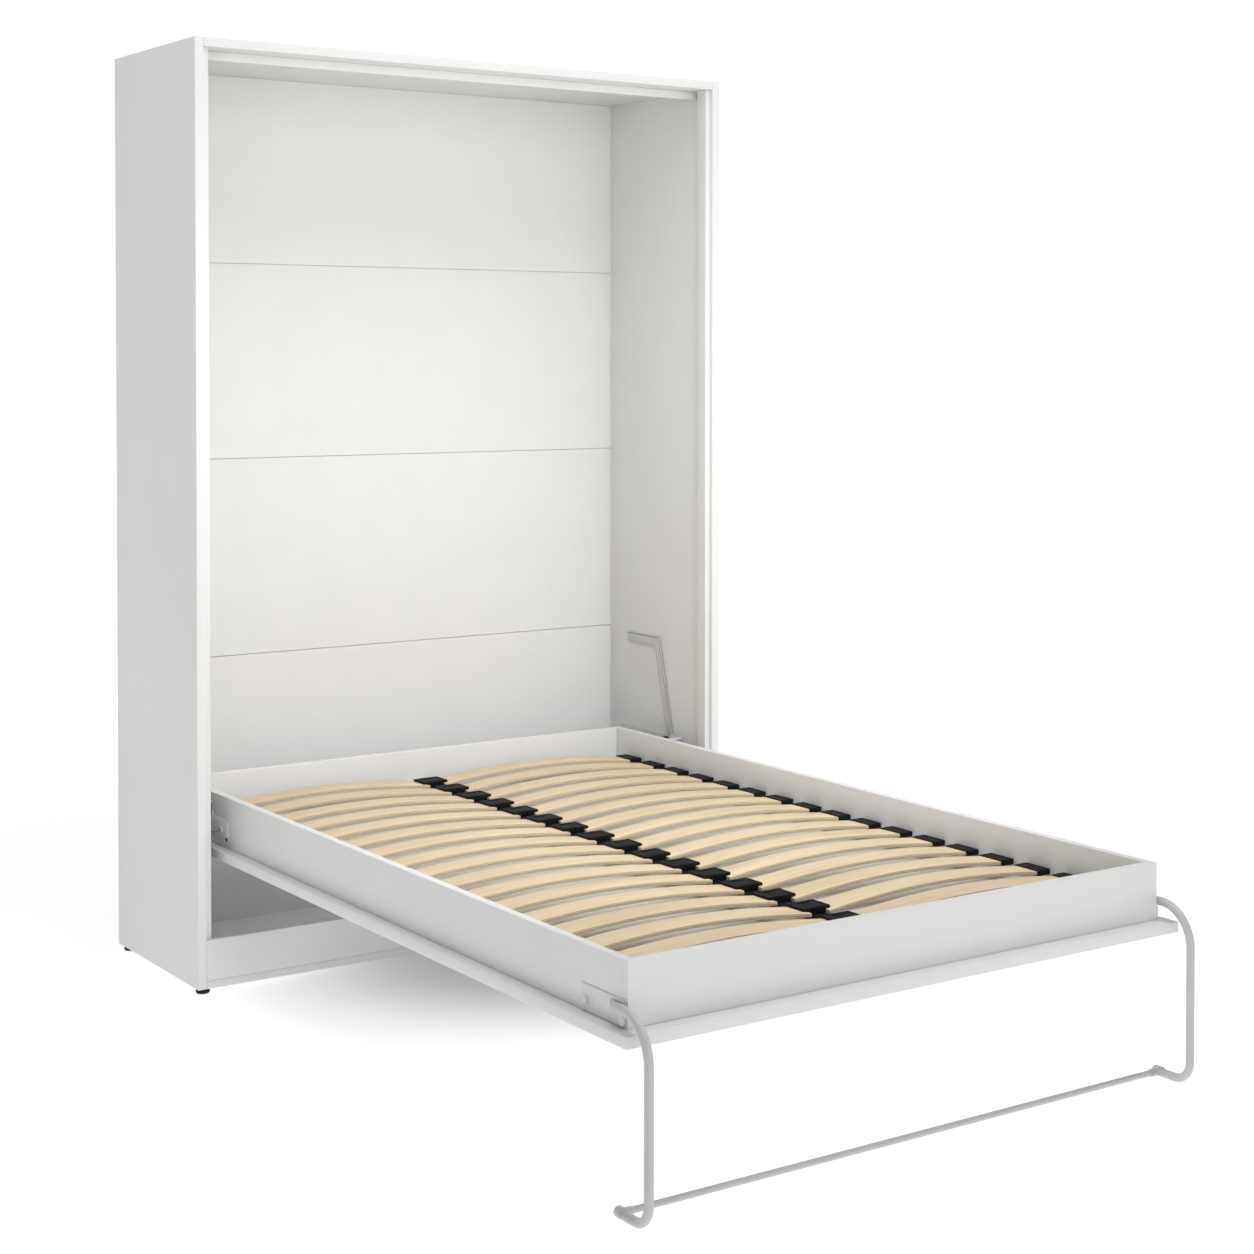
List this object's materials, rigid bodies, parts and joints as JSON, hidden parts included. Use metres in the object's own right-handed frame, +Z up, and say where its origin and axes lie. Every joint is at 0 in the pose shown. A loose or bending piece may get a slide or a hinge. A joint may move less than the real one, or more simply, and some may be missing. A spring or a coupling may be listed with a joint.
{
  "type": "murphy wall bed",
  "caption": "Vertical folding wall bed: open-fronted cabinet, slatted bed box on its door panel, gas-spring side hinges and a fold-over tubular steel leg.",
  "frame": {"origin": "centre of the bounding box's underside, on the floor, with the bed folded down", "axes": "+X across the bed, +Y from the bed's foot to the wall, +Z up"},
  "size_m": [1.44, 2.2856, 2.18],
  "materials": {
    "white_board": "white melamine-faced board, satin",
    "birch_slat": "birch plywood, clear lacquer",
    "foot_plastic": "black moulded plastic",
    "buffer_rubber": "black rubber",
    "holder_plastic": "black moulded plastic, fine texture",
    "white_paint": "white powder coat",
    "black_paint": "black paint, semi-gloss",
    "spring_chrome": "polished rod",
    "bare_steel": "zinc plated"
  },
  "bodies": {
    "cabinet": {"side_panel_left": "white_board", "side_panel_right": "white_board", "top_panel": "white_board", "bottom_panel": "white_board", "plinth_board": "white_board", "stop_batten_left": "white_board", "stop_batten_right": "white_board", "stop_strip_top": "white_board", "back_board_1": "white_board", "back_board_2": "white_board", "back_board_3": "white_board", "back_board_4": "white_board", "glide_foot_front_left": "foot_plastic", "glide_foot_front_right": "foot_plastic", "glide_foot_back_left": "foot_plastic", "glide_foot_back_right": "foot_plastic", "mech_plate_left": "white_paint", "mech_plate_right": "white_paint", "pivot_pin_left": "white_paint", "pivot_pin_right": "white_paint", "stop_buffer_left": "buffer_rubber", "stop_buffer_right": "buffer_rubber"},
    "bed": {"door_panel": "white_board", "footboard": "white_board", "headboard": "white_board", "centre_beam": "white_board", "side_rail_left": "white_board", "slat_ledge_left": "white_board", "side_rail_right": "white_board", "slat_ledge_right": "white_board", "hinge_plate_left": "white_paint", "leg_bracket_left": "white_paint", "leg_bolt_left": "bare_steel", "hinge_plate_right": "white_paint", "leg_bracket_right": "white_paint", "leg_bolt_right": "bare_steel", "slat_row_01": "birch_slat", "slat_row_02": "birch_slat", "slat_row_03": "birch_slat", "slat_row_04": "birch_slat", "slat_row_05": "birch_slat", "slat_row_06": "birch_slat", "slat_row_07": "birch_slat", "slat_row_08": "birch_slat", "slat_row_09": "birch_slat", "slat_row_10": "birch_slat", "slat_row_11": "birch_slat", "slat_row_12": "birch_slat", "slat_row_13": "birch_slat", "slat_row_14": "birch_slat", "slat_row_15": "birch_slat", "slat_row_16": "birch_slat", "slat_row_17": "birch_slat"},
    "leg": {"leg_tube_left": "white_paint", "leg_tube_right": "white_paint", "leg_crossbar": "white_paint"},
    "gas_cylinder_left": {"gas_cylinder_left": "black_paint"},
    "gas_cylinder_right": {"gas_cylinder_right": "black_paint"},
    "gas_rod_left": {"gas_rod_left": "spring_chrome"},
    "gas_rod_right": {"gas_rod_right": "spring_chrome"}
  },
  "joints": [
    {"name": "bed_fold", "type": "hinge", "parent": "cabinet", "child": "bed", "pos_m": [0, 0.69475, 0.361], "axis": [-1, 0, 0], "range_deg": [0, 90]},
    {"name": "leg_swing", "type": "hinge", "parent": "bed", "child": "leg", "pos_m": [0, -1.00925, 0.357], "axis": [-1, 0, 0], "range_deg": [0, 200]},
    {"name": "spring_swing_left", "type": "hinge", "parent": "cabinet", "child": "gas_cylinder_left", "pos_m": [-0.657, 1.06275, 0.33], "axis": [-1, 0, 0], "range_deg": [-32.25, 0]},
    {"name": "rod_slide_left", "type": "slide", "parent": "gas_cylinder_left", "child": "gas_rod_left", "axis": [0, -0.9737, 0.2278], "range_m": [0, 0.1444]},
    {"name": "spring_swing_right", "type": "hinge", "parent": "cabinet", "child": "gas_cylinder_right", "pos_m": [0.657, 1.06275, 0.33], "axis": [-1, 0, 0], "range_deg": [-32.25, 0]},
    {"name": "rod_slide_right", "type": "slide", "parent": "gas_cylinder_right", "child": "gas_rod_right", "axis": [0, -0.9737, 0.2278], "range_m": [0, 0.1444]}
  ],
  "couplings": [
    {"joint": "leg_swing", "follows": "bed_fold", "ratio": 2.222},
    {"joint": "spring_swing_left", "follows": "bed_fold", "ratio": -0.35606},
    {"joint": "rod_slide_left", "follows": "bed_fold", "m_per_rad": 0.09161},
    {"joint": "spring_swing_right", "follows": "bed_fold", "ratio": -0.35606},
    {"joint": "rod_slide_right", "follows": "bed_fold", "m_per_rad": 0.09161}
  ]
}
